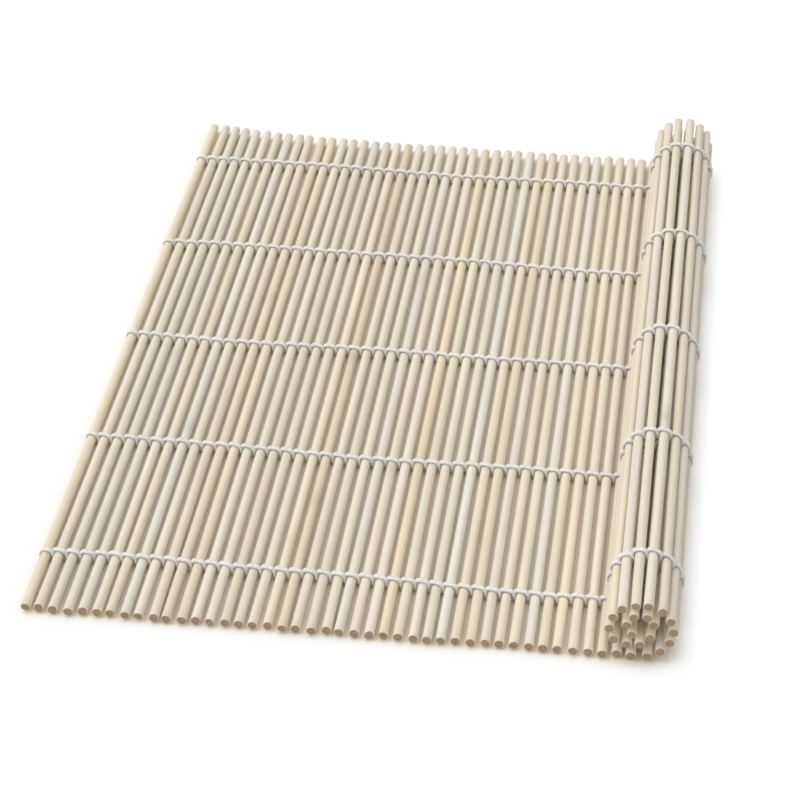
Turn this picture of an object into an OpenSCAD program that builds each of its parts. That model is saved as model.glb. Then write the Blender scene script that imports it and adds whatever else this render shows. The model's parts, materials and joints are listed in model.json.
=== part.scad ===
// Sushi rolling mat: round bamboo sticks side by side, held in rows of twined cotton string.
// The left part lies flat and the right end is rolled up over itself.
// X runs across the sticks, from the free edge to the roll. Y runs along the sticks, Z is up.
// The origin is under the middle of the mat, on the surface that it lies on. Millimetres.

/* [Sticks] */
// Diameter of one bamboo stick
stick_d = 2.6; // [2.0:0.05:3.2]
// Length of the longest stick
stick_len = 244; // [150:1:300]
// Most that a stick falls short of that at either end
end_short = 0.8; // [0:0.1:2]
// Bevel where a stick is cut off
end_bevel = 0.15; // [0.05:0.05:0.5]

/* [Strings] */
// Rows of string across the sticks
row_count = 5; // [2:1:7]
// Distance from the sticks' ends to the first and last row
row_margin = 20.8; // [10:0.1:30]
// Thickness of the string where it is drawn tight over a stick
string_t = 0.24; // [0.2:0.02:0.4]
// Width of the string where it is drawn tight over a stick
string_w = 0.72; // [0.6:0.02:1.0]
// Room between a stick and the string round it
string_seat = 0.02; // [0.01:0.01:0.05]
// Room between the two strings that pass each other in a gap
string_play = 0.09; // [0.08:0.01:0.2]
// Room between the strings of two wraps that lie on each other
wrap_play = 0.16; // [0.15:0.01:0.4]
// Depth to which the table presses the underside of a string flat
press_flat = 0.04; // [0.01:0.01:0.1]

/* [Flat part] */
// Sticks that lie flat
flat_sticks = 43; // [20:1:60]
// Stiff groups that the flat sticks are gathered in
panel_count = 10; // [4:1:10]

/* [Roll] */
// Turn at the gap where the mat leaves the table, in degrees
lead_turn = 12; // [10:1:13]
// Turn at each gap of the outer wrap, in degrees
outer_turn = 26; // [25.5:0.5:26.5]
// Gaps of the outer wrap
outer_gaps = 10; // [9:1:10]
// Turn at each gap where the outer wrap steps inwards, in degrees
step_turn = 41; // [40:1:42]
// Gaps of that step
step_gaps = 2; // [2:1:2]
// Turn at each gap of the inner wrap, in degrees
inner_turn = 34; // [33:1:35]
// Gaps of the inner wrap
inner_gaps = 3; // [3:1:3]
// Turn at each gap of the core, in degrees
core_turn = 57; // [55:1:57]
// Gaps of the core
core_gaps = 4; // [1:1:4]

/* [Hidden] */
$fn = 64;

// The string's section is a flat band with round edges. band_half is the half distance
// between the centres of its two edges.
band_half = (string_w - string_t) / 2;

// Each loop is a ring round its stick that leans to one side, so that its right side lies to the
// front and its left side to the back, and neighbouring loops pass each other in the gap.
// lean_step gives a better angle from a rough one: tan = sideways reach / reach from the axis.
reach_x = stick_d / 2 + string_seat + string_t / 2;
reach_y = string_t / 2 + string_play / 2;
function lean_step(a, n) =
    n == 0 ? a : lean_step(atan((reach_y + band_half * cos(a)) / (reach_x + band_half * sin(a))), n - 1);
// Rough angle in degrees to start from, and how often it is made better
first_guess = 15;
guesses = 20;
loop_lean = lean_step(first_guess, guesses);
loop_mid_r = (reach_x + band_half * sin(loop_lean)) / cos(loop_lean);
loop_r = loop_mid_r + string_t / 2;

// The rows share out evenly between the two margins.
row_step = (stick_len - 2 * row_margin) / (row_count - 1);

// The sticks lie one loop and its room apart, and their axes one loop above the table.
pitch = 2 * loop_r + wrap_play + string_seat;
axis_z = loop_r - press_flat;

// Turns of the mat at the gaps of the roll, from the flat part inwards
function repeated(value, count) = [for (i = [1:1:count]) value];
turns = concat(
    [lead_turn],
    repeated(outer_turn, outer_gaps),
    repeated(step_turn, step_gaps),
    repeated(inner_turn, inner_gaps),
    repeated(core_turn, core_gaps)
);
roll_sticks = len(turns);

// Slope of the mat past gap k of the roll, in degrees, and the place of that gap's hinge line
// in X and Z, from the middle of the last flat gap
function slope(k) = k < 0 ? 0 : slope(k - 1) + turns[k];
function hinge(k) =
    k == 0 ? [0, 0] : hinge(k - 1) + pitch * [cos(slope(k - 1)), sin(slope(k - 1))];
function roll_axis(k) = hinge(k) + pitch / 2 * [cos(slope(k)), sin(slope(k))];

// Reach of a loop past its stick's axis, level with the table, when the mat there slopes by a
function loop_reach(a) =
    loop_mid_r * sqrt(1 - pow(sin(loop_lean) * cos(a), 2))
    + band_half * sin(loop_lean) * abs(cos(a)) + string_t / 2;

// Only whole sticks are laid, also where the number of them is scaled.
flat_count = round(flat_sticks);
flat_w = flat_count * pitch;
roll_reach = max([for (k = [0:roll_sticks - 1]) roll_axis(k)[0] + loop_reach(slope(k))]);

// The mat reaches from the loops of stick 1 to the outermost loop of the roll.
left_reach = flat_w - pitch / 2 + loop_reach(0);
roll_x = (left_reach - roll_reach) / 2;

// Panels: the flat sticks share out evenly, and the last panels take what is left over.
panel_least = floor(flat_count / panel_count);
panels_with_one_more = flat_count - panel_least * panel_count;
function panel_size(p) = panel_least + (p > panel_count - panels_with_one_more ? 1 : 0);
function panel_first(p) = p == 1 ? 1 : panel_first(p - 1) + panel_size(p - 1);
function panel_hinge_x(p) = roll_x - flat_w + (panel_first(p + 1) - 1) * pitch;

// Place in X of the axis of flat stick i
function flat_axis_x(i) = roll_x - flat_w + i * pitch - pitch / 2;

// Each end of each stick is cut a little differently: the shares run through 0 to 1 in whole
// steps, and from one stick to the next they jump by the stride.
front_shares = 11;
front_stride = 7;
back_shares = 13;
back_stride = 5;
function share(i, stride, shares) = (i * stride % shares) / (shares - 1);
function front_end(i) = -stick_len / 2 + end_short * share(i, front_stride, front_shares);
function back_end(i) = stick_len / 2 - end_short * share(i, back_stride, back_shares);

// Colours of the sticks, by turns
shades = ["wheat", "cornsilk", "blanchedalmond"];

function two_digits(n) = str(n < 10 ? "0" : "", n);
function panel_name(p, what) = str("panel_", two_digits(p), "_", what);
function roll_name(k, what) = str("roll_", two_digits(k), "_", what);

// One stick along Y: a turned rod with a bevel at each cut. i is its number from the free edge.
module stick(i) {
    low = front_end(i);
    length = back_end(i) - low;
    r = stick_d / 2;
    color(shades[i % len(shades)])
        translate([0, low, 0])
            rotate([-90, 0, 0])
                rotate_extrude()
                    polygon([
                        [0, 0], [r - end_bevel, 0], [r, end_bevel],
                        [r, length - end_bevel], [r - end_bevel, length], [0, length]
                    ]);
}

// Section of the string: a flat band with round edges, at the loop's middle radius
module string_section() {
    translate([loop_mid_r - string_t / 2, -band_half])
        square([string_t, 2 * band_half]);
    for (side = [-1, 1])
        translate([loop_mid_r, side * band_half])
            circle(d = string_t);
}

// One loop round a stick on the Y axis, leaning, and pressed flat on its underside
module string_loop() {
    difference() {
        rotate([-90, 0, -loop_lean])
            rotate_extrude()
                string_section();
        translate([-loop_r, -loop_r, -2 * loop_r - axis_z])
            cube(2 * loop_r);
    }
}

// The loops of all rows round one stick
module loops() {
    color("white")
        for (row = [0:row_count - 1])
            translate([0, (row - (row_count - 1) / 2) * row_step, 0])
                string_loop();
}

// Puts its children on the axis of each stick of flat panel p
module on_panel(p) {
    for (j = [0:panel_size(p) - 1])
        translate([flat_axis_x(panel_first(p) + j), 0, axis_z])
            children();
}

// Puts its children on the axis of stick k of the roll, turned with the mat there
module on_roll(k) {
    translate([roll_x + roll_axis(k - 1)[0], 0, axis_z + roll_axis(k - 1)[1]])
        rotate([0, -slope(k - 1), 0])
            children();
}

module panel_sticks(p) {
    for (j = [0:panel_size(p) - 1])
        translate([flat_axis_x(panel_first(p) + j), 0, axis_z])
            stick(panel_first(p) + j);
}

module panel_strings(p) {
    on_panel(p)
        loops();
}

module roll_stick(k) {
    on_roll(k)
        stick(flat_count + k);
}

module roll_strings(k) {
    on_roll(k)
        loops();
}

for (p = [1:panel_count]) {
    panel_sticks(p);
    panel_strings(p);
}
for (k = [1:roll_sticks]) {
    roll_stick(k);
    roll_strings(k);
}
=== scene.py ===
# %% [markdown]
# # A sushi rolling mat
#
# The mat is a row of thin round bamboo sticks, held side by side by five rows of cotton string.
# Two strings run in each row: one passes over a stick while the other passes under it, and they
# change places in every gap. Most of the mat lies flat, and one end is rolled up over itself.
#
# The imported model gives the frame: where each stick lies, and about which line each gap bends.
# Every piece below is worked out from it, so nothing has to be fitted by eye.

import json

import bpy
import numpy as np
from mathutils import Euler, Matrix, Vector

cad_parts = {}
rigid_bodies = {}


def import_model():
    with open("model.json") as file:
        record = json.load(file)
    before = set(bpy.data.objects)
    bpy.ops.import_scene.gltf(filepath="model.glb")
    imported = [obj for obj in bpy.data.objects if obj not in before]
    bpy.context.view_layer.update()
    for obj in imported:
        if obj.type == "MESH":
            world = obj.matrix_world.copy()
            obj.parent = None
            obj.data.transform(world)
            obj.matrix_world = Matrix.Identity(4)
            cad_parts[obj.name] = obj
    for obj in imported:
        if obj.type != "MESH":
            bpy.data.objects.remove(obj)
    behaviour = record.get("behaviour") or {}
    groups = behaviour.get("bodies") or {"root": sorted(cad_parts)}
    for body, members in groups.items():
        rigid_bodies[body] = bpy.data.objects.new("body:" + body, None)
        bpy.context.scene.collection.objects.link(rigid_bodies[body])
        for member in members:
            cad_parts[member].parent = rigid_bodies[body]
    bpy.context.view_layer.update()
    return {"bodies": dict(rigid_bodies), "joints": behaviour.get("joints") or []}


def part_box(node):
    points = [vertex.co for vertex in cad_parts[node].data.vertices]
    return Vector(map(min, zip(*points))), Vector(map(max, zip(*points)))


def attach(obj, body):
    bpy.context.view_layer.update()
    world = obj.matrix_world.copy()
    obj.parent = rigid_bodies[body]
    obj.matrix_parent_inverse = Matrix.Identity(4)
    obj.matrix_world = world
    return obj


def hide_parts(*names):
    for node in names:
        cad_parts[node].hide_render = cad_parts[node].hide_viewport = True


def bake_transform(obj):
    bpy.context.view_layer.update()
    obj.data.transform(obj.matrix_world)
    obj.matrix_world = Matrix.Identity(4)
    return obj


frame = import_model()
MM = 0.001

# %% [markdown]
# The camera comes first, so that the first render already shows the photograph's view. It looks
# down on the mat at about 35 degrees, a little from the right of the sticks' direction, through
# a long lens. The three places are in millimetres, and the turns are in degrees.

# %% The camera
CAMERA_PLACE = (76.1, -600.4, 405.1)
CAMERA_TURN = (55.343, -0.112, 7.533)
CAMERA_LENS = 117.0
SENSOR = 36.0

camera_data = bpy.data.cameras.new("camera")
camera_data.lens = CAMERA_LENS
camera_data.sensor_width = SENSOR
camera = bpy.data.objects.new("camera", camera_data)
camera.location = [v * MM for v in CAMERA_PLACE]
camera.rotation_euler = Euler(np.radians(CAMERA_TURN))
bpy.context.scene.collection.objects.link(camera)
bpy.context.scene.camera = camera
print("the camera stands %.0f mm from the origin" % np.linalg.norm(CAMERA_PLACE))

# %% [markdown]
# The mat is a chain: stick, gap, stick, gap. Each gap of the roll has a hinge in the frame, and
# from one hinge line to the next the mat is straight, so the hinges give each stick's axis and
# the slope of the mat there. The roll goes round more than once, so its slopes are unwrapped:
# they go on past half a turn instead of starting again at minus half a turn. The flat sticks
# follow at the same step to the left.

# %% The chain of sticks
panels = sorted(name for name in frame["bodies"] if name.startswith("panel"))
roll = sorted(name for name in frame["bodies"] if name.startswith("roll"))
hinge_of = {joint["child"]: np.array(joint["pos_m"]) for joint in frame["joints"]}

first_low, first_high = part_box(panels[0] + "_sticks")
stick_r = (first_high.z - first_low.z) / 2
axis_z = (first_high.z + first_low.z) / 2
half_len = max(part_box(panels[0] + "_sticks")[1].y, -first_low.y)
hinges = np.array([hinge_of[name][[0, 2]] for name in roll])
pitch = np.linalg.norm(hinges[1] - hinges[0])


def last_slope():
    """The slope of the last stick: the line from its hinge to the middle of its box."""
    low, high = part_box(roll[-1] + "_stick")
    middle = (np.array(low) + np.array(high))[[0, 2]] / 2
    return np.arctan2(*(middle - hinges[-1])[::-1])


steps = np.diff(hinges, axis=0)
roll_slopes = np.unwrap(np.append(np.arctan2(steps[:, 1], steps[:, 0]), last_slope()))
flat_count = round((hinges[0, 0] - first_low.x - stick_r + pitch / 2) / pitch)
stick_count = flat_count + len(roll)
slopes = np.concatenate([np.zeros(flat_count), roll_slopes])
axes = np.zeros((stick_count, 2))
axes[:flat_count, 0] = hinges[0, 0] - pitch * (np.arange(flat_count, 0, -1) - 0.5)
axes[:flat_count, 1] = axis_z
axes[flat_count:] = hinges + pitch / 2 * np.stack([np.cos(roll_slopes), np.sin(roll_slopes)], 1)

panel_starts = [round((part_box(name + "_sticks")[0].x - first_low.x) / pitch) for name in panels]
sticks_of = {
    name: list(range(start, end))
    for name, start, end in zip(panels, panel_starts, panel_starts[1:] + [flat_count])
}
sticks_of.update({name: [flat_count + k] for k, name in enumerate(roll)})
print(stick_count, "sticks", round(pitch / MM, 3), "mm apart, of which", flat_count, "lie flat")

# %% [markdown]
# Bamboo sticks are split from a cane and drawn through a round die, so each is nearly round and
# nearly straight, but never quite. A few numbers for each stick say how it strays from its axis,
# in millimetres: its ends fan out a little, it bows between the strings, and it waves and lifts.
# They come from one seeded generator, so each run gives the same mat.

# %% How each stick strays
SEED = 11
WAVE_TURN = 2.5
draw = np.random.default_rng(SEED)


def strays(usual, most):
    """One number a stick: normal draws of the usual size, and none beyond the most."""
    return draw.normal(0, usual, stick_count).clip(-most, most)


fan = strays(usual=0.16, most=0.34) * MM
bow = strays(usual=0.09, most=0.2) * MM
wave = strays(usual=0.05, most=0.1) * MM
lift = strays(usual=0.03, most=0.06) * MM


def sideways(k, y):
    """How far stick k lies beside its axis at y: a slope, a bow and a slow wave, added up. With
    t = y / half length it is fan * t^3 + bow * (t^2 - 1/3) + wave * sin(WAVE_TURN * t)."""
    t = y / half_len
    return fan[k] * t**3 + bow[k] * (t**2 - 1 / 3) + wave[k] * np.sin(WAVE_TURN * t)


print("sticks fan out by up to %.2f mm" % (abs(fan).max() / MM))

# %% [markdown]
# Each stick is cut a little short or long, and the saw didn't cut quite square either. In the
# photograph the sticks of the free corner stand out a few millimetres farther at the back, so
# the back line has a curve there, while the front line tapers a little towards the roll.

# %% Where each stick is cut off
RAGGED_FRONT, RAGGED_BACK = 0.35 * MM, 0.4 * MM
FRONT_OUT, FRONT_TAPER = 0.6 * MM, 1.7 * MM
BACK_SHORT, BACK_CORNER, CORNER_SHARE = 3.0 * MM, 4.4 * MM, 0.45

ragged_front = draw.uniform(-RAGGED_FRONT, RAGGED_FRONT, stick_count)
ragged_back = draw.uniform(-RAGGED_BACK, RAGGED_BACK, stick_count)
order = np.arange(stick_count) / (flat_count - 1)
corner = np.clip(1 - order / CORNER_SHARE, 0, 1) ** 2
front_ends = -half_len - FRONT_OUT + FRONT_TAPER * np.minimum(order, 1) + ragged_front
back_ends = half_len - BACK_SHORT + BACK_CORNER * corner + ragged_back
print("the longest stick measures %.1f mm" % ((back_ends - front_ends).max() / MM))

# %% [markdown]
# Most pieces here are tubes: grids of points that close on themselves one way round. The helpers
# turn such a grid into quads, and close each end with one flat face of many corners.


# %% Grids to meshes
def tube_faces(rings, around, first=0):
    """Quads between neighbouring rings of points. Corner (i, j) is joined to (i, j+1),
    (i+1, j+1) and (i+1, j), where j runs round and starts again after the last one. They face
    outwards where j runs round the tube's direction as a right hand's fingers round its thumb."""
    i, j = np.meshgrid(np.arange(rings - 1), np.arange(around), indexing="ij")
    after = (j + 1) % around
    corners = [i * around + j, i * around + after, (i + 1) * around + after, (i + 1) * around + j]
    return (first + np.stack(corners, -1).reshape(-1, 4)).tolist()


def end_faces(rings, around, first=0):
    """The two faces that close a tube: the first ring backwards, and the last one forwards."""
    ring = np.arange(around)
    return [(first + ring[::-1]).tolist(), (first + (rings - 1) * around + ring).tolist()]


def mesh_piece(name, points, faces, materials, face_materials=None):
    """One object from points and faces, smooth shaded, at the origin."""
    mesh = bpy.data.meshes.new(name)
    mesh.from_pydata(points.tolist(), [], faces)
    for material in materials:
        mesh.materials.append(material)
    if face_materials is not None:
        mesh.polygons.foreach_set("material_index", np.asarray(face_materials, np.int32))
    mesh.polygons.foreach_set("use_smooth", np.ones(len(mesh.polygons), bool))
    mesh.update()
    piece = bpy.data.objects.new(name, mesh)
    bpy.context.scene.collection.objects.link(piece)
    return piece


def set_point_values(piece, name, kind, values):
    """Stores one number or one colour per point, which a material can read by its name."""
    attribute = piece.data.attributes.new(name, kind, "POINT")
    field = "color" if kind == "FLOAT_COLOR" else "value"
    attribute.data.foreach_set(field, np.asarray(values, np.float32).ravel())


print("a closed tube of 3 rings with 12 points each has", len(tube_faces(3, 12)), "quads")

# %% [markdown]
# All three finishes, the bamboo's side, its cut ends and the cotton, have a fine pattern and a
# broad one. A node group makes the pair once: two noises on Object coordinates, each stretched
# by its own scale. A stretch of thousands to the metre across and a few dozen along Y draws
# fibres that run along the sticks.


# %% A node group for fine and broad patterns
def make_pattern_group():
    """Two noise textures in one group: inputs are their scales, outputs run from 0 to 1."""
    group = bpy.data.node_groups.new("fine_and_broad", "ShaderNodeTree")
    for title in ("Fine Scale", "Broad Scale"):
        group.interface.new_socket(title, in_out="INPUT", socket_type="NodeSocketVector")
    for title in ("Fine", "Broad"):
        group.interface.new_socket(title, in_out="OUTPUT", socket_type="NodeSocketFloat")
    nodes, links = group.nodes, group.links
    source = nodes.new("NodeGroupInput")
    result = nodes.new("NodeGroupOutput")
    place = nodes.new("ShaderNodeTexCoord")
    for title in ("Fine", "Broad"):
        stretch = nodes.new("ShaderNodeVectorMath")
        stretch.operation = "MULTIPLY"
        noise = nodes.new("ShaderNodeTexNoise")
        for socket, value in (("Scale", 1.0), ("Detail", 3.0), ("Roughness", 0.6)):
            noise.inputs[socket].default_value = value
        links.new(place.outputs["Object"], stretch.inputs[0])
        links.new(source.outputs[title + " Scale"], stretch.inputs[1])
        links.new(stretch.outputs["Vector"], noise.inputs["Vector"])
        links.new(noise.outputs["Fac"], result.inputs[title])
    return group


pattern_group = make_pattern_group()
print("node group", pattern_group.name, "is ready")


# %% [markdown]
# A material is a small net of nodes. The helpers below make the parts of it that come back in
# each finish: the pattern with its scales, a number moved to another range, a colour made
# lighter or darker, and a bump.


# %% Small helpers for building a material
def new_material(name):
    """A material with its shader and output, and the nodes and links to build on."""
    material = bpy.data.materials.new(name)
    material.use_nodes = True
    tree = material.node_tree
    return material, tree.nodes, tree.links, tree.nodes["Principled BSDF"]


def add_pattern(nodes, fine_scale, broad_scale):
    """Places the pattern group with its own two scales."""
    node = nodes.new("ShaderNodeGroup")
    node.node_tree = pattern_group
    node.inputs["Fine Scale"].default_value = fine_scale
    node.inputs["Broad Scale"].default_value = broad_scale
    return node


def map_range(nodes, links, source, low, high, from_low=0.3, from_high=0.7):
    """A number moved from the range from_low to from_high, where most noise lies, to low to
    high."""
    node = nodes.new("ShaderNodeMapRange")
    node.inputs["From Min"].default_value = from_low
    node.inputs["From Max"].default_value = from_high
    node.inputs["To Min"].default_value = low
    node.inputs["To Max"].default_value = high
    links.new(source, node.inputs["Value"])
    return node.outputs["Result"]


def tinted(nodes, links, colour, factor):
    """A colour made lighter or darker by a number: colour times factor."""
    node = nodes.new("ShaderNodeVectorMath")
    node.operation = "SCALE"
    links.new(colour, node.inputs[0])
    links.new(factor, node.inputs["Scale"])
    return node.outputs["Vector"]


def add_bump(nodes, links, shader, height, distance):
    """Raises the surface by a height from 0 to 1 times a distance in metres."""
    node = nodes.new("ShaderNodeBump")
    node.inputs["Strength"].default_value = 1.0
    node.inputs["Distance"].default_value = distance
    links.new(height, node.inputs["Height"])
    links.new(node.outputs["Normal"], shader.inputs["Normal"])


print("the material helpers are ready")

# %% [markdown]
# Bare bamboo is pale cream and matt. No two sticks have the same tint: some are greenish white,
# some ivory, some yellow or peach. The tint is a colour stored on the stick's points, and the
# material only adds what changes over one stick: thin fibres, broader streaks and darker rings
# at the knots of the cane.


# %% The bamboo's side
def make_bamboo():
    """Tint of the stick, times fibres and streaks, darkened at its knots."""
    material, nodes, links, shader = new_material("bamboo_side")
    pattern = add_pattern(
        nodes, fine_scale=(3800.0, 55.0, 3800.0), broad_scale=(420.0, 14.0, 420.0)
    )
    tint = nodes.new("ShaderNodeAttribute")
    tint.attribute_name = "stick_tint"
    knot = nodes.new("ShaderNodeAttribute")
    knot.attribute_name = "knot"
    fibres = map_range(nodes, links, pattern.outputs["Fine"], low=0.94, high=1.04)
    streaks = map_range(nodes, links, pattern.outputs["Broad"], low=0.93, high=1.05)
    rings = map_range(nodes, links, knot.outputs["Fac"], 1.0, 0.8, from_low=0.0, from_high=1.0)
    colour = tint.outputs["Color"]
    for factor in (fibres, streaks, rings):
        colour = tinted(nodes, links, colour, factor)
    links.new(colour, shader.inputs["Base Color"])
    roughness = map_range(nodes, links, pattern.outputs["Fine"], low=0.5, high=0.7)
    links.new(roughness, shader.inputs["Roughness"])
    add_bump(nodes, links, shader, pattern.outputs["Fine"], distance=0.03 * MM)
    shader.inputs["Specular IOR Level"].default_value = 0.3
    return material


# %% [markdown]
# A cut end shows the cane's cross-section: tan, with the dark dots of the fibre bundles.


# %% The bamboo's cut ends
CUT_TAN = (0.43, 0.3, 0.18, 1.0)


def make_cut_end():
    """Tan, mottled, with dark dots where a cell pattern is close to its cell's middle."""
    material, nodes, links, shader = new_material("bamboo_cut_end")
    pattern = add_pattern(
        nodes, fine_scale=(5200.0, 900.0, 5200.0), broad_scale=(900.0, 300.0, 900.0)
    )
    place = nodes.new("ShaderNodeTexCoord")
    cells = nodes.new("ShaderNodeTexVoronoi")
    cells.inputs["Scale"].default_value = 3600.0
    links.new(place.outputs["Object"], cells.inputs["Vector"])
    dots = map_range(
        nodes, links, cells.outputs["Distance"], 0.62, 1.0, from_low=0.15, from_high=0.42
    )
    mottle = map_range(nodes, links, pattern.outputs["Broad"], low=0.82, high=1.1)
    tint = nodes.new("ShaderNodeRGB")
    tint.outputs["Color"].default_value = CUT_TAN
    colour = tinted(nodes, links, tint.outputs["Color"], dots)
    colour = tinted(nodes, links, colour, mottle)
    links.new(colour, shader.inputs["Base Color"])
    shader.inputs["Roughness"].default_value = 0.85
    add_bump(nodes, links, shader, pattern.outputs["Fine"], distance=0.05 * MM)
    return material


bamboo_side = make_bamboo()
bamboo_cut = make_cut_end()
print("materials:", bamboo_side.name, "and", bamboo_cut.name)

# %% [markdown]
# The tints are drawn stick by stick: a lightness, a warmth that moves the colour from greenish
# white to yellow, and a touch of peach. Colours in a mesh are linear, so the written screen
# colours are raised to the power 2.2 or so by the usual formula.


# %% The tint of each stick
def linear(screen):
    """Screen colour, 0 to 1, to linear light: a short straight toe and then a power curve."""
    screen = np.asarray(screen, float)
    return np.where(screen <= 0.04045, screen / 12.92, ((screen + 0.055) / 1.055) ** 2.4)


IVORY = np.array([0.925, 0.890, 0.806])
WARM_SHIFT = np.array([0.008, -0.012, -0.055])
PEACH_SHIFT = np.array([0.010, -0.008, -0.004])
LIGHTNESS, DARKEST, LIGHTEST = 0.011, -0.025, 0.02
WARMTH, COOLEST, WARMEST = 0.4, -0.8, 0.9
lightness = draw.normal(0, LIGHTNESS, stick_count).clip(DARKEST, LIGHTEST)[:, None]
warmth = draw.normal(0, WARMTH, stick_count).clip(COOLEST, WARMEST)[:, None]
peach = strays(usual=0.4, most=0.8)[:, None]
tints = linear((IVORY + lightness + warmth * WARM_SHIFT + peach * PEACH_SHIFT).clip(0, 1))
print("the lightest and darkest tints:", tints.max(0).round(2), tints.min(0).round(2))

# %% [markdown]
# A stick is a tube of rings along Y. Its radius wanders by a hundredth or two, it swells a
# little at a knot of the cane, and its ends are sawn off slightly askew, with the corner rubbed
# round. All of that is worked out beside a straight axis, and only then is the stick put where
# it lies in the mat.

# %% The shape of a stick
ROUND = 20
ALONG = 44
BEVEL = 0.16 * MM
KNOTS = (stick_count, 2)
KNOT_CHANCE, KNOT_WEAKEST = 0.28, 0.4
KNOT_WIDTH, KNOT_HEIGHT = 1.1 * MM, 0.045 * MM
KNOTS_WITHIN = 0.9
SKEW, SKEW_MOST = 0.09, 0.2
OVAL_MOST, GIRTH_LEAST = 0.018, 0.95

angles = np.linspace(0, 2 * np.pi, ROUND, endpoint=False)
knot_places = draw.uniform(-KNOTS_WITHIN, KNOTS_WITHIN, KNOTS) * half_len
knot_shows = draw.uniform(0, 1, KNOTS) < KNOT_CHANCE
knot_strength = knot_shows * draw.uniform(KNOT_WEAKEST, 1, KNOTS)
skews = draw.normal(0, SKEW, (stick_count, 2, 2)).clip(-SKEW_MOST, SKEW_MOST)
oval = draw.uniform(0, OVAL_MOST, stick_count)
oval_turn = draw.uniform(0, np.pi, stick_count)
girth = draw.uniform(GIRTH_LEAST, 1, stick_count)


def knot_at(k, y):
    """How much of a knot stick k has at y: at each knot's place a bell curve, strength times
    exp(-(distance / KNOT_WIDTH)^2)."""
    distance = (y[..., None] - knot_places[k]) / KNOT_WIDTH
    return (np.exp(-(distance**2)) * knot_strength[k]).sum(-1)


def stick_profile(k):
    """Distance along and radius of each ring of stick k, from its front end to its back end:
    a smaller ring at each cut, and even ones of the full radius between the rubbed corners."""
    front, back = front_ends[k], back_ends[k]
    even = np.linspace(front + BEVEL, back - BEVEL, ALONG)
    along = np.concatenate([[front], even, [back]])
    radius = np.concatenate([[stick_r - BEVEL], np.full(ALONG, stick_r), [stick_r - BEVEL]])
    return along, radius


WAVES = ((0.012, 17 * MM, 5), (0.008, 6.3 * MM, 3))
SKEWED_FROM = 0.97


def stick_points(k):
    """Points of stick k in its own frame: ring by ring, (radius sin, y, radius cos), which
    runs round +Y as a right hand's fingers do, so that the faces point outwards. The radius
    is girth * (1 - oval * (1 - cos(2 angle)) - the size of the slow WAVES along y), plus the
    knots. Past SKEWED_FROM of the half length y gets the skew of the cut, x and z times a
    slope each."""
    along, radius = stick_profile(k)
    y = along[:, None] + np.zeros(ROUND)
    slow = sum(size * np.sin(y / length + shift * k) for size, length, shift in WAVES)
    flatter = oval[k] * (1 - np.cos(2 * (angles - oval_turn[k])))
    full = radius[:, None] > stick_r - BEVEL / 2
    r = radius[:, None] * girth[k] * (1 - flatter - abs(slow))
    r = r + KNOT_HEIGHT * knot_at(k, y) * full
    x = r * np.sin(angles)
    z = r * np.cos(angles)
    for end, side in ((0, -1), (1, 1)):
        near = (np.clip(side * y / half_len, SKEWED_FROM, 1) - SKEWED_FROM) / (1 - SKEWED_FROM)
        y = y + near * (skews[k, end, 0] * x + skews[k, end, 1] * z)
    x = x + sideways(k, y)
    z = z + lift[k] * (1 - (y / half_len) ** 2)
    return np.stack([x, y, z], -1).reshape(-1, 3), knot_at(k, y).ravel()


def on_axis(k, points):
    """From stick k's own frame to the mat's: turned by the slope there and moved to its axis."""
    c, s = np.cos(slopes[k]), np.sin(slopes[k])
    x, y, z = points.T
    return np.stack([axes[k, 0] + c * x - s * z, y, axes[k, 1] + s * x + c * z], 1)


print("a stick has", len(stick_points(0)[0]), "points")


# %% [markdown]
# The sticks of one panel move together, so they are one piece. In the roll each stick is a piece
# of its own. Each piece replaces the plain rods of the frame and rides on their body.


# %% Making the sticks
def make_sticks(body):
    """All sticks of one body as one mesh, with their tints and knots on the points."""
    points, faces, kinds, tint, knots = [], [], [], [], []
    rings = len(stick_profile(0)[0])
    for k in sticks_of[body]:
        here, knot = stick_points(k)
        start = len(points) * len(here)
        quads = tube_faces(rings, ROUND, start)
        ends = end_faces(rings, ROUND, start)
        points.append(on_axis(k, here))
        faces += quads + ends
        kinds += [0] * len(quads) + [1] * len(ends)
        tint.append(np.tile(np.append(tints[k], 1.0), (len(here), 1)))
        knots.append(knot)
    piece = mesh_piece(
        body + "_bamboo", np.concatenate(points), faces, [bamboo_side, bamboo_cut], kinds
    )
    set_point_values(piece, "stick_tint", "FLOAT_COLOR", np.concatenate(tint))
    set_point_values(piece, "knot", "FLOAT", np.concatenate(knots))
    mark_sharp_rim(piece)
    return piece


def mark_sharp_rim(piece):
    """A crisp edge where the sawn disc meets the rubbed corner."""
    mesh = piece.data
    kind = np.zeros(len(mesh.polygons), np.int32)
    mesh.polygons.foreach_get("material_index", kind)
    corners = np.zeros(len(mesh.polygons), np.int32)
    mesh.polygons.foreach_get("loop_total", corners)
    edge_of_loop = np.zeros(len(mesh.loops), np.int32)
    mesh.loops.foreach_get("edge_index", edge_of_loop)
    polygon_of_loop = np.repeat(np.arange(len(mesh.polygons)), corners)
    low = np.full(len(mesh.edges), 2)
    high = np.full(len(mesh.edges), -1)
    np.minimum.at(low, edge_of_loop, kind[polygon_of_loop])
    np.maximum.at(high, edge_of_loop, kind[polygon_of_loop])
    mesh.attributes.new("sharp_edge", "BOOLEAN", "EDGE").data.foreach_set("value", low != high)


for body in panels + roll:
    sticks = make_sticks(body)
    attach(sticks, body)
    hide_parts(body + ("_sticks" if body in panels else "_stick"))
print("made", stick_count, "sticks in", len(panels) + len(roll), "pieces")

# %% [markdown]
# Cotton string is off-white and matt, twisted from three plies. The plies are in the mesh, and
# the material adds the fuzz of the yarn.


# %% The cotton
COTTON_WHITE = [0.935, 0.93, 0.92]


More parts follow.
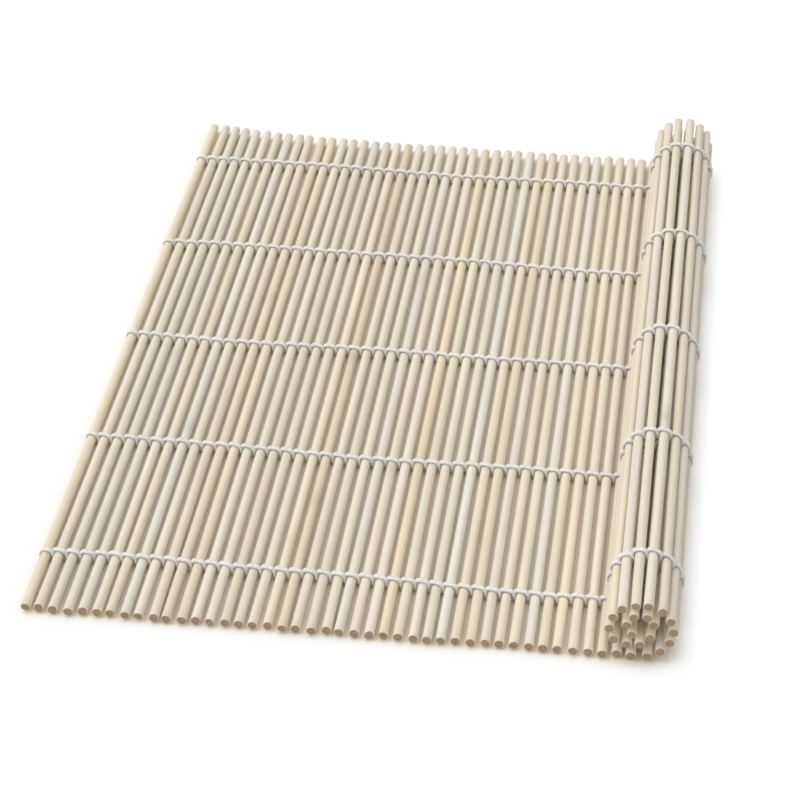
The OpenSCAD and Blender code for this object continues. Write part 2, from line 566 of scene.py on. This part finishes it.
def make_cotton():
    """Off-white with fine fuzz and slightly dirty patches."""
    material, nodes, links, shader = new_material("cotton_string")
    pattern = add_pattern(
        nodes, fine_scale=(9000.0, 9000.0, 9000.0), broad_scale=(160.0, 160.0, 160.0)
    )
    tint = nodes.new("ShaderNodeRGB")
    tint.outputs["Color"].default_value = (*linear(COTTON_WHITE), 1.0)
    fuzz = map_range(nodes, links, pattern.outputs["Fine"], low=0.9, high=1.06)
    patches = map_range(nodes, links, pattern.outputs["Broad"], low=0.94, high=1.04)
    colour = tinted(nodes, links, tint.outputs["Color"], fuzz)
    colour = tinted(nodes, links, colour, patches)
    links.new(colour, shader.inputs["Base Color"])
    shader.inputs["Roughness"].default_value = 0.95
    shader.inputs["Sheen Weight"].default_value = 0.15
    add_bump(nodes, links, shader, pattern.outputs["Fine"], distance=0.04 * MM)
    return material


cotton = make_cotton()
print("material:", cotton.name)

# %% [markdown]
# How thick a string can be depends on where it runs: below the mat it lies on the table, and in
# the roll it lies between one wrap and the next. So the room on both sides of each stick is
# measured first.

# %% The room for a string
SEAT = 0.02 * MM
THICK_MOST, THICK_LEAST = 0.55 * MM, 0.3 * MM
ROUGHLY_THAT_WAY = 0.5
FAR_AWAY = 1.0


def room_beside(side):
    """The room for a string on one side of each stick: half the free distance to the nearest
    stick that lies that way and isn't a neighbour in the chain, or all of that to the table.
    Something lies that way if it is within 60 degrees, so that its cosine is over a half."""
    normal = side * np.stack([-np.sin(slopes), np.cos(slopes)], 1)
    away = axes[None] - axes[:, None]
    distance = np.linalg.norm(away, axis=2)
    number = np.arange(stick_count)
    beyond = abs(number[:, None] - number) >= 2
    that_way = (away * normal[:, None]).sum(2) > ROUGHLY_THAT_WAY * distance
    nearest = np.where(beyond & that_way, distance, FAR_AWAY).min(1)
    table_below = normal[:, 1] < -ROUGHLY_THAT_WAY
    to_table = np.where(table_below, axes[:, 1] - stick_r, FAR_AWAY)
    room = np.minimum(nearest / 2 - stick_r, to_table) - SEAT
    return np.clip(room, THICK_LEAST, THICK_MOST)


thick_of_side = {side: room_beside(side) for side in (1, -1)}
thin, thick = (pick(list(thick_of_side.values())) / MM for pick in (np.min, np.max))
print("over and under the sticks the strings are %.2f to %.2f mm thick" % (thin, thick))

# %% [markdown]
# The path of a string is worked out stick by stick, in the angle that it has gone round the
# stick: -90 degrees is the gap on the left, 0 is above (or below) the stick and 90 is the gap on
# the right. Drawn over the stick it is thin, beside that it swells, and in the middle of the gap
# it just fills the room between the sticks, so its middle is always half a thickness off the
# stick. In a gap the two strings lie side by side, one in front of the other, so over each stick
# a string runs from the back left to the front right, and under it the other way. Past the
# outermost sticks no gap follows, so there the two strings are one that loops round.

# %% The path of a string round the sticks
ROWS = 5
STEPS = 20
SWELLS_BY, SWELLS_AT = 0.5 * MM, np.radians(50)
WIDE_ON, WIDE_IN_GAP = 1.5 * MM, 1.35 * MM
SIDE_STEP = 0.36 * MM
ROW_MARGIN = 20.8 * MM
DRIFTS = ((0.55, 1 / 7.3, 1.9), (0.3, 1 / 3.1, 4.1), (0.12, 1.7, 2.3))
row_places = np.linspace(-half_len + ROW_MARGIN, half_len - ROW_MARGIN, ROWS)
swing = np.linspace(-np.pi / 2, np.pi / 2, STEPS + 1)


def smooth_step(value):
    """0 below 0, 1 above 1, and an S-shaped curve between: 3 t^2 - 2 t^3."""
    t = np.clip(value, 0, 1)
    return t * t * (3 - 2 * t)


def drift(row, at):
    """How far a row wanders along the sticks: a sum of waves, each of a size in millimetres
    times sin(so much a stick * stick number + so much a row * row number)."""
    return MM * sum(
        size * np.sin(a_stick * at + a_row * row) for size, a_stick, a_row in DRIFTS
    )


def thickness(angle, thick_on):
    """From thick_on above the stick up by SWELLS_BY at SWELLS_AT, then to the width of the gap."""
    swollen = thick_on + SWELLS_BY * smooth_step(abs(angle) / SWELLS_AT)
    past = smooth_step((abs(angle) - SWELLS_AT) / (np.pi / 2 - SWELLS_AT))
    return swollen + (pitch - 2 * (stick_r + SEAT) - swollen) * past


def strand(row, first_over):
    """The middle line of one string of a row over all sticks, its normals and its size.
    Place = axis + radius * (sin angle, side * cos angle), turned by the slope. The radius is
    that of the stick, its seat and half a thickness, and side is 1 above the stick and -1
    below it, by turns. Along the sticks the string steps by -side * sin(angle) * SIDE_STEP,
    and on the outer half of the outermost sticks by -side * sin(2 angle) / 2 * SIDE_STEP, to
    end in the middle."""
    k = np.arange(stick_count)[:, None]
    side = np.where((k % 2 == 0) == first_over, 1, -1)
    angle = np.broadcast_to(swing, (stick_count, STEPS + 1))
    thick_on = np.where(side > 0, thick_of_side[1][:, None], thick_of_side[-1][:, None])
    no_gap = ((k == 0) & (angle < 0)) | ((k == stick_count - 1) & (angle > 0))
    thick = np.where(no_gap, thick_on + 0 * angle, thickness(angle, thick_on))
    radius = stick_r + SEAT + thick / 2
    x = radius * np.sin(angle) + sideways(k[:, 0], row_places[row])[:, None] * np.cos(angle) ** 2
    z = side * radius * np.cos(angle)
    step = np.where(no_gap, np.sin(2 * angle) / 2, np.sin(angle))
    y = row_places[row] - side * SIDE_STEP * step + drift(row, k + np.sin(angle) / 2)
    normal_x, normal_z = side * np.sin(angle), np.cos(angle)
    c, s = np.cos(slopes)[:, None], np.sin(slopes)[:, None]
    place = np.stack([axes[:, :1] + c * x - s * z, y, axes[:, 1:] + s * x + c * z], -1)
    normal = np.stack([c * normal_x - s * normal_z, 0 * x, s * normal_x + c * normal_z], -1)
    wide = WIDE_ON + (WIDE_IN_GAP - WIDE_ON) * abs(np.sin(angle))
    return place, normal, np.stack([thick, wide], -1)


print("a string stands %.2f mm thick in a gap" % ((pitch - 2 * (stick_r + SEAT)) / MM))

# %% [markdown]
# Each row has two strings, one that starts over the first stick and one that starts under it.
# The blocks of samples, one a stick, are joined to one line, and its small corners are eased.


# %% Ten strings
def joined(blocks):
    """Blocks of samples, one a stick, to one long line: neighbours share their end sample, and
    it is the mean of the two."""
    line = blocks[:, :-1].reshape(-1, blocks.shape[-1]).copy()
    line[STEPS::STEPS] = (blocks[1:, 0] + blocks[:-1, -1]) / 2
    return np.concatenate([line, blocks[-1, -1:]])


def eased(line, times=2):
    """Rounds off corners: each point becomes half itself and a quarter of each neighbour."""
    for _ in range(times):
        line = np.concatenate(
            [line[:1], 0.25 * line[:-2] + 0.5 * line[1:-1] + 0.25 * line[2:], line[-1:]]
        )
    return line


strands = {}
for row in range(ROWS):
    for first_over in (True, False):
        place, normal, size = strand(row, first_over)
        strands[row, first_over] = (eased(joined(place)), eased(joined(normal)), joined(size))
lengths = [np.linalg.norm(np.diff(line, axis=0), axis=1).sum() for line, _, _ in strands.values()]
print(len(strands), "strings of %.1f to %.1f mm" % (min(lengths) / MM, max(lengths) / MM))

# %% [markdown]
# Round each sample of the path lies a flattened ring: wide and thin where the string is drawn
# over a stick, thicker where it fills the gap. It is a rounded box rather than an ellipse, as
# the string gives way to what it lies on. Three lobes turn slowly round it: the three plies.

# %% The string's surface
STRING_ROUND = 14
PLIES = 3
PLY_DEPTH = 0.07
PLY_LAY = 2.9 * MM
BOXY = 0.85
around = np.linspace(0, 2 * np.pi, STRING_ROUND, endpoint=False)


def boxed(value):
    """The same sign and a fuller size: sign(v) |v| ^ BOXY, which makes a circle boxy."""
    return np.sign(value) * abs(value) ** BOXY


def string_surface(line, normal, size):
    """Rings round a line: line + thick/2 boxed(cos a) n + wide/2 boxed(sin a) b, with b across
    the line and n. Both are times 1 - PLY_DEPTH (1 - cos(PLIES (a - 2 pi length / PLY_LAY))).
    Nothing of it goes below the table."""
    along = np.gradient(line, axis=0)
    along /= np.linalg.norm(along, axis=1, keepdims=True)
    across = np.cross(along, normal)
    across /= np.linalg.norm(across, axis=1, keepdims=True)
    out = np.cross(across, along)
    length = np.insert(np.cumsum(np.linalg.norm(np.diff(line, axis=0), axis=1)), 0, 0)
    thick, wide = size[:, :1] / 2, size[:, 1:] / 2
    turned = around - 2 * np.pi * length[:, None] / PLY_LAY
    lobes = 1 - PLY_DEPTH + PLY_DEPTH * np.cos(PLIES * turned)
    ring_out = (thick * lobes * boxed(np.cos(around)))[..., None] * out[:, None]
    ring_across = (wide * lobes * boxed(np.sin(around)))[..., None] * across[:, None]
    points = line[:, None] + ring_out + ring_across
    points[..., 2] = np.maximum(points[..., 2], 0.0)
    return points


surfaces = {key: string_surface(*value) for key, value in strands.items()}
print(len(surfaces), "string surfaces of %d rings with %d points" % surfaces[0, True].shape[:2])

# %% [markdown]
# The strings cross every gap, and gaps bend. So the twining is cut where a string lies on the
# middle of a stick: the part within a panel rides on it, and the part that crosses a bending gap
# is a piece of its own, which stays where it is made.


# %% Making the twining
def twining(name, first, last):
    """All strings from the middle of stick first to the middle of stick last, as one mesh.
    At the mat's own ends they go on to the gap beside the stick."""
    low = 0 if first < 0 else first * STEPS + STEPS // 2
    high = stick_count * STEPS if last >= stick_count else last * STEPS + STEPS // 2
    points, faces, start = [], [], 0
    for surface in surfaces.values():
        rings = surface[low : high + 1]
        points.append(rings.reshape(-1, 3))
        faces += tube_faces(len(rings), STRING_ROUND, start)
        faces += end_faces(len(rings), STRING_ROUND, start)
        start += len(rings) * STRING_ROUND
    piece = mesh_piece(name, np.concatenate(points), faces, [cotton])
    return piece


for number, body in enumerate(panels):
    first = -1 if number == 0 else sticks_of[body][0]
    piece = twining(body + "_twining", first, sticks_of[body][-1])
    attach(piece, body)
    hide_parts(body + "_strings")

chain = panels + roll
for body, after in zip(chain, chain[1:]):
    left = sticks_of[body][-1]
    last = stick_count if after == roll[-1] else left + 1
    piece = twining("gap_after_" + body + "_twining", left, last)
    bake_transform(piece)
    if after in roll:
        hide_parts(after + "_strings")
print("made the twining of", ROWS, "rows in", len(panels) + len(chain) - 1, "pieces")

# %% [markdown]
# The mat lies on a white floor in soft light: a sky that is bright above and dim at the
# horizon, and one broad lamp that stands high on the left, so shadows fall to the right. Close
# to the mat the camera sees the floor as it is lit, with the mat's shadow, and where the sticks
# hide the floor its own colour is painted a darker warm tan: painted shade between and under
# the sticks. Farther away that fades into the pure white that the camera sees in the sky too.
# What decides is how open the floor is there: the share of a small half ball round the point in
# which nothing stands. Only camera rays see this white, so it lights nothing.


# %% The floor
# Painted shade: the floor's colour where it lies hidden between and under the sticks, darker and
# warmer than in the open.
PAINTED_SHADE_UNDER_MAT = (0.86, 0.77, 0.64, 1.0)
IN_THE_OPEN = (0.95, 0.94, 0.92, 1.0)
OPEN_WITHIN = 8.0 * MM
WHITE_FROM, WHITE_TO = 0.6, 0.97
FLOOR_HALF = 2.0


def make_floor():
    """A flat pale square, 4 m wide. Its colour is painted shade: a darker warm tan where the
    sticks hide it, going to nearly white in the open, and camera rays see pure white where it
    is almost wholly open."""
    corners = FLOOR_HALF * np.array([[-1, -1, 0], [1, -1, 0], [1, 1, 0], [-1, 1, 0]])
    material, nodes, links, shader = new_material("pale_floor")
    shader.inputs["Roughness"].default_value = 1.0
    shader.inputs["Specular IOR Level"].default_value = 0.0
    opening = nodes.new("ShaderNodeAmbientOcclusion")
    opening.inputs["Distance"].default_value = OPEN_WITHIN
    openness = opening.outputs["AO"]
    # Painted shade: the less open the floor is, the more its colour turns to the darker warm tan.
    colour = nodes.new("ShaderNodeMix")
    colour.data_type = "RGBA"
    colour.inputs["A"].default_value = PAINTED_SHADE_UNDER_MAT
    colour.inputs["B"].default_value = IN_THE_OPEN
    links.new(openness, colour.inputs["Factor"])
    links.new(colour.outputs["Result"], shader.inputs["Base Color"])
    far = map_range(nodes, links, openness, 0.0, 1.0, from_low=WHITE_FROM, from_high=WHITE_TO)
    seen = nodes.new("ShaderNodeLightPath").outputs["Is Camera Ray"]
    factor = nodes.new("ShaderNodeMath")
    factor.operation = "MULTIPLY"
    links.new(far, factor.inputs[0])
    links.new(seen, factor.inputs[1])
    white = nodes.new("ShaderNodeEmission")
    mix = nodes.new("ShaderNodeMixShader")
    links.new(factor.outputs["Value"], mix.inputs[0])
    links.new(shader.outputs["BSDF"], mix.inputs[1])
    links.new(white.outputs["Emission"], mix.inputs[2])
    links.new(mix.outputs["Shader"], nodes["Material Output"].inputs["Surface"])
    floor = mesh_piece("floor", corners, [[0, 1, 2, 3]], [material])
    return floor


make_floor()
print("the floor lies at z = 0, under the strings")

# %% [markdown]
# The sky's brightness follows the angle between the ray and SKY_SIDE, a direction high up and a
# little to the left: dark where the two point apart, bright where they agree, with a smooth
# change between. Rays from the camera, and those through glass, see it at strength 1, which is
# pure white. The lamp is a sun with a very wide disc, so that its shadows are soft.

# %% The sky
SKY_DARK, SKY_BRIGHT = 0.08, 0.928
SKY_LOW, SKY_HIGH = -0.1, 0.65
SKY_SIDE = (-0.35, -0.05, 0.93)

world = bpy.data.worlds.new("studio")
bpy.context.scene.world = world
world.use_nodes = True
sky_nodes, sky_links = world.node_tree.nodes, world.node_tree.links
sky_nodes.clear()
path = sky_nodes.new("ShaderNodeLightPath")
seen = sky_nodes.new("ShaderNodeMath")
seen.operation = "MAXIMUM"
strength = sky_nodes.new("ShaderNodeMapRange")
strength.inputs["To Max"].default_value = 1.0
toward = sky_nodes.new("ShaderNodeTexCoord")
along = sky_nodes.new("ShaderNodeVectorMath")
along.operation = "DOT_PRODUCT"
along.inputs[1].default_value = SKY_SIDE
sky_links.new(toward.outputs["Generated"], along.inputs[0])
lit = map_range(
    sky_nodes, sky_links, along.outputs["Value"], SKY_DARK, SKY_BRIGHT, SKY_LOW, SKY_HIGH
)
lit.node.interpolation_type = "SMOOTHSTEP"
sky_links.new(lit, strength.inputs["To Min"])
background = sky_nodes.new("ShaderNodeBackground")
background.inputs["Color"].default_value = (1.0, 1.0, 1.0, 1.0)
output = sky_nodes.new("ShaderNodeOutputWorld")
sky_links.new(path.outputs["Is Camera Ray"], seen.inputs[0])
sky_links.new(path.outputs["Is Transmission Ray"], seen.inputs[1])
sky_links.new(seen.outputs["Value"], strength.inputs["Value"])
sky_links.new(strength.outputs["Result"], background.inputs["Strength"])
sky_links.new(background.outputs["Background"], output.inputs["Surface"])
print("the sky goes from", SKY_DARK, "to", SKY_BRIGHT)

# %% The lamp
LAMP = 0.7
LAMP_TURN = (-6.0, -28.0, 0.0)
LAMP_SOFTNESS = 45.0

lamp_data = bpy.data.lights.new("lamp", "SUN")
lamp_data.energy = LAMP
lamp_data.angle = np.radians(LAMP_SOFTNESS)
lamp = bpy.data.objects.new("lamp", lamp_data)
lamp.rotation_euler = Euler(np.radians(LAMP_TURN))
bpy.context.scene.collection.objects.link(lamp)
bpy.context.scene.view_settings.view_transform = "Standard"
print("the lamp's strength is", LAMP)
